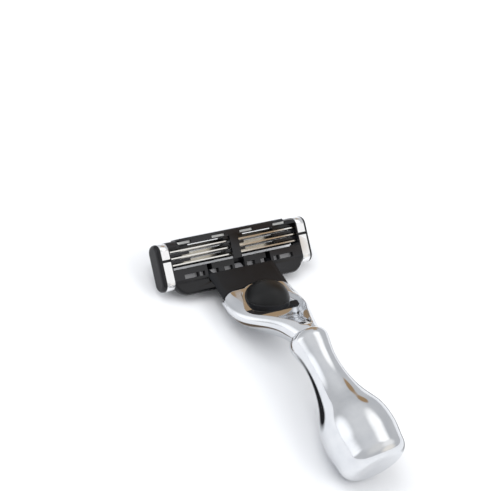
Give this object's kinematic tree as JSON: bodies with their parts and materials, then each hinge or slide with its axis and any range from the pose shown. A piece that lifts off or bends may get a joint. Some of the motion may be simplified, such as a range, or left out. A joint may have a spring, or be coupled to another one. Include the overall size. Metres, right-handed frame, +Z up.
{
  "type": "cartridge razor",
  "caption": "Short travel razor with a bulb shaped metal grip, goose neck, domed release button and a pivoting multi-blade cartridge on a black connector.",
  "frame": {"origin": "centre of the razor's outline on the surface it lies on", "axes": "+X along the blades to the right seen from behind the head, +Y from the grip's end toward the head, +Z up, away from the surface, on the button side"},
  "size_m": [0.0412, 0.0678, 0.0161],
  "materials": {
    "chrome": "mirror polished chrome plate",
    "stud_steel": "turned",
    "matte_black": "fine matte black moulding",
    "gloss_black": "satin to gloss black moulding",
    "button_rubber": "soft matte black",
    "plunger_grey": "matte dark moulding",
    "spring_steel": "drawn wire",
    "clip_aluminium": "bright rolled strip",
    "blade_steel": "honed",
    "support_steel": "rolled strip",
    "guard_grey": "matte elastomer",
    "strip_white": "waxy"
  },
  "bodies": {
    "handle": {"grip": "chrome", "stud": "stud_steel", "neck": "chrome", "nose_insert": "matte_black", "button_tray": "matte_black", "plunger_spring": "spring_steel"},
    "plunger": {"plunger": "plunger_grey"},
    "button": {"button_slider": "matte_black", "button_cap": "button_rubber"},
    "connector": {"connector": "matte_black"},
    "cartridge": {"housing": "gloss_black", "guard_strip": "guard_grey", "lube_strip": "strip_white", "clip_left": "clip_aluminium", "clip_right": "clip_aluminium"},
    "blade_unit_1": {"blade_support_1": "support_steel", "blade_1": "blade_steel"},
    "blade_unit_2": {"blade_support_2": "support_steel", "blade_2": "blade_steel"},
    "blade_unit_3": {"blade_support_3": "support_steel", "blade_3": "blade_steel"}
  },
  "joints": [
    {"name": "cartridge_release", "type": "slide", "parent": "handle", "child": "connector", "axis": [0, 0.9998, -0.018], "range_m": [0, 0.01]},
    {"name": "button_slide", "type": "slide", "parent": "handle", "child": "button", "axis": [0, 0.9998, -0.018], "range_m": [0, 0.003]},
    {"name": "cartridge_pivot", "type": "hinge", "parent": "connector", "child": "cartridge", "pos_m": [0, 0.0263, 0.00309], "axis": [1, 0, 0], "range_deg": [0, 40], "stiffness_Nm_per_rad": 0.006},
    {"name": "plunger_slide", "type": "slide", "parent": "handle", "child": "plunger", "axis": [0, -0.9998, 0.018], "range_m": [0, 0.0012], "deforming": ["plunger_spring"]},
    {"name": "blade_1_float", "type": "slide", "parent": "cartridge", "child": "blade_unit_1", "axis": [0, -0.5442, 0.839], "range_m": [0, 0.0003], "stiffness_N_per_m": 800},
    {"name": "blade_2_float", "type": "slide", "parent": "cartridge", "child": "blade_unit_2", "axis": [0, -0.5442, 0.839], "range_m": [0, 0.0003], "stiffness_N_per_m": 800},
    {"name": "blade_3_float", "type": "slide", "parent": "cartridge", "child": "blade_unit_3", "axis": [0, -0.5442, 0.839], "range_m": [0, 0.0003], "stiffness_N_per_m": 800}
  ],
  "couplings": [
    {"joint": "button_slide", "follows": "cartridge_release", "ratio": 0.3},
    {"joint": "plunger_slide", "follows": "cartridge_pivot", "m_per_rad": 0.0017}
  ]
}
